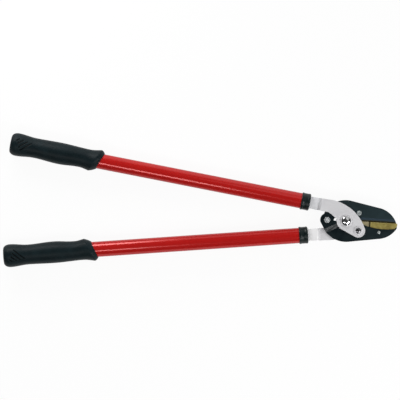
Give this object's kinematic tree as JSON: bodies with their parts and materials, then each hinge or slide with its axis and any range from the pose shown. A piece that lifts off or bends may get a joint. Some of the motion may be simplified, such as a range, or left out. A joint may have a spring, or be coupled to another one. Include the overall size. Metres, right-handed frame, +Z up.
{
  "type": "anvil lopper",
  "caption": "Compound anvil lopper: long lacquered tube handles with rubber grips drive a black blade against a brass anvil bar through crossed levers.",
  "frame": {"origin": "on the handle pivot bolt's axis, at the bolt's lower end, on the surface the tool lies on", "axes": "+X along the centre line to the tip of the jaws, +Y to the upper handle, +Z up from the surface the tool lies on"},
  "size_m": [0.7085, 0.2426, 0.0412],
  "materials": {
    "grip": "satin",
    "tube": "gloss",
    "collar": "satin",
    "nylon": "matte",
    "nut_nylon": "satin",
    "lever": "satin",
    "jaw": "satin",
    "anvil": "satin",
    "polished": "polished",
    "plated": "satin"
  },
  "bodies": {
    "lower_handle": {"lower_grip": "grip", "lower_tube": "tube", "lower_collar": "collar", "lower_sleeve": "nylon", "lower_tang_pin": "plated", "lower_lever": "lever", "pivot_bolt": "polished", "pivot_head_washer": "plated", "pivot_spacer": "plated", "pivot_nut_washer": "plated", "pivot_nut": "plated", "pivot_nut_ring": "nut_nylon"},
    "upper_handle": {"upper_grip": "grip", "upper_tube": "tube", "upper_collar": "collar", "upper_sleeve": "nylon", "upper_tang_pin": "plated", "upper_lever": "lever"},
    "blade": {"blade": "jaw", "blade_rivet": "polished", "blade_washer": "plated"},
    "anvil_jaw": {"anvil_plate": "jaw", "anvil_bar": "anvil", "anvil_bar_rivet": "plated", "anvil_rivet": "polished", "anvil_washer": "plated", "hinge_bolt": "plated", "hinge_washer": "plated", "hinge_nut": "plated", "hinge_nut_ring": "nut_nylon"}
  },
  "joints": [
    {"name": "handle_pivot", "type": "hinge", "parent": "lower_handle", "child": "upper_handle", "pos_m": [0, 0, 0.0206], "axis": [0, 0, -1], "range_deg": [0, 72]},
    {"name": "anvil_pivot", "type": "hinge", "parent": "upper_handle", "child": "anvil_jaw", "pos_m": [0.023, -0.016, 0.0206], "axis": [0, 0, 1], "range_deg": [0, 25]},
    {"name": "blade_pivot", "type": "hinge", "parent": "lower_handle", "child": "blade", "pos_m": [0.023, 0.016, 0.0206], "axis": [0, 0, -1], "range_deg": [0, 25]}
  ],
  "couplings": [
    {"joint": "anvil_pivot", "follows": "handle_pivot", "ratio": 0.3405},
    {"joint": "blade_pivot", "follows": "handle_pivot", "ratio": 0.3405}
  ]
}
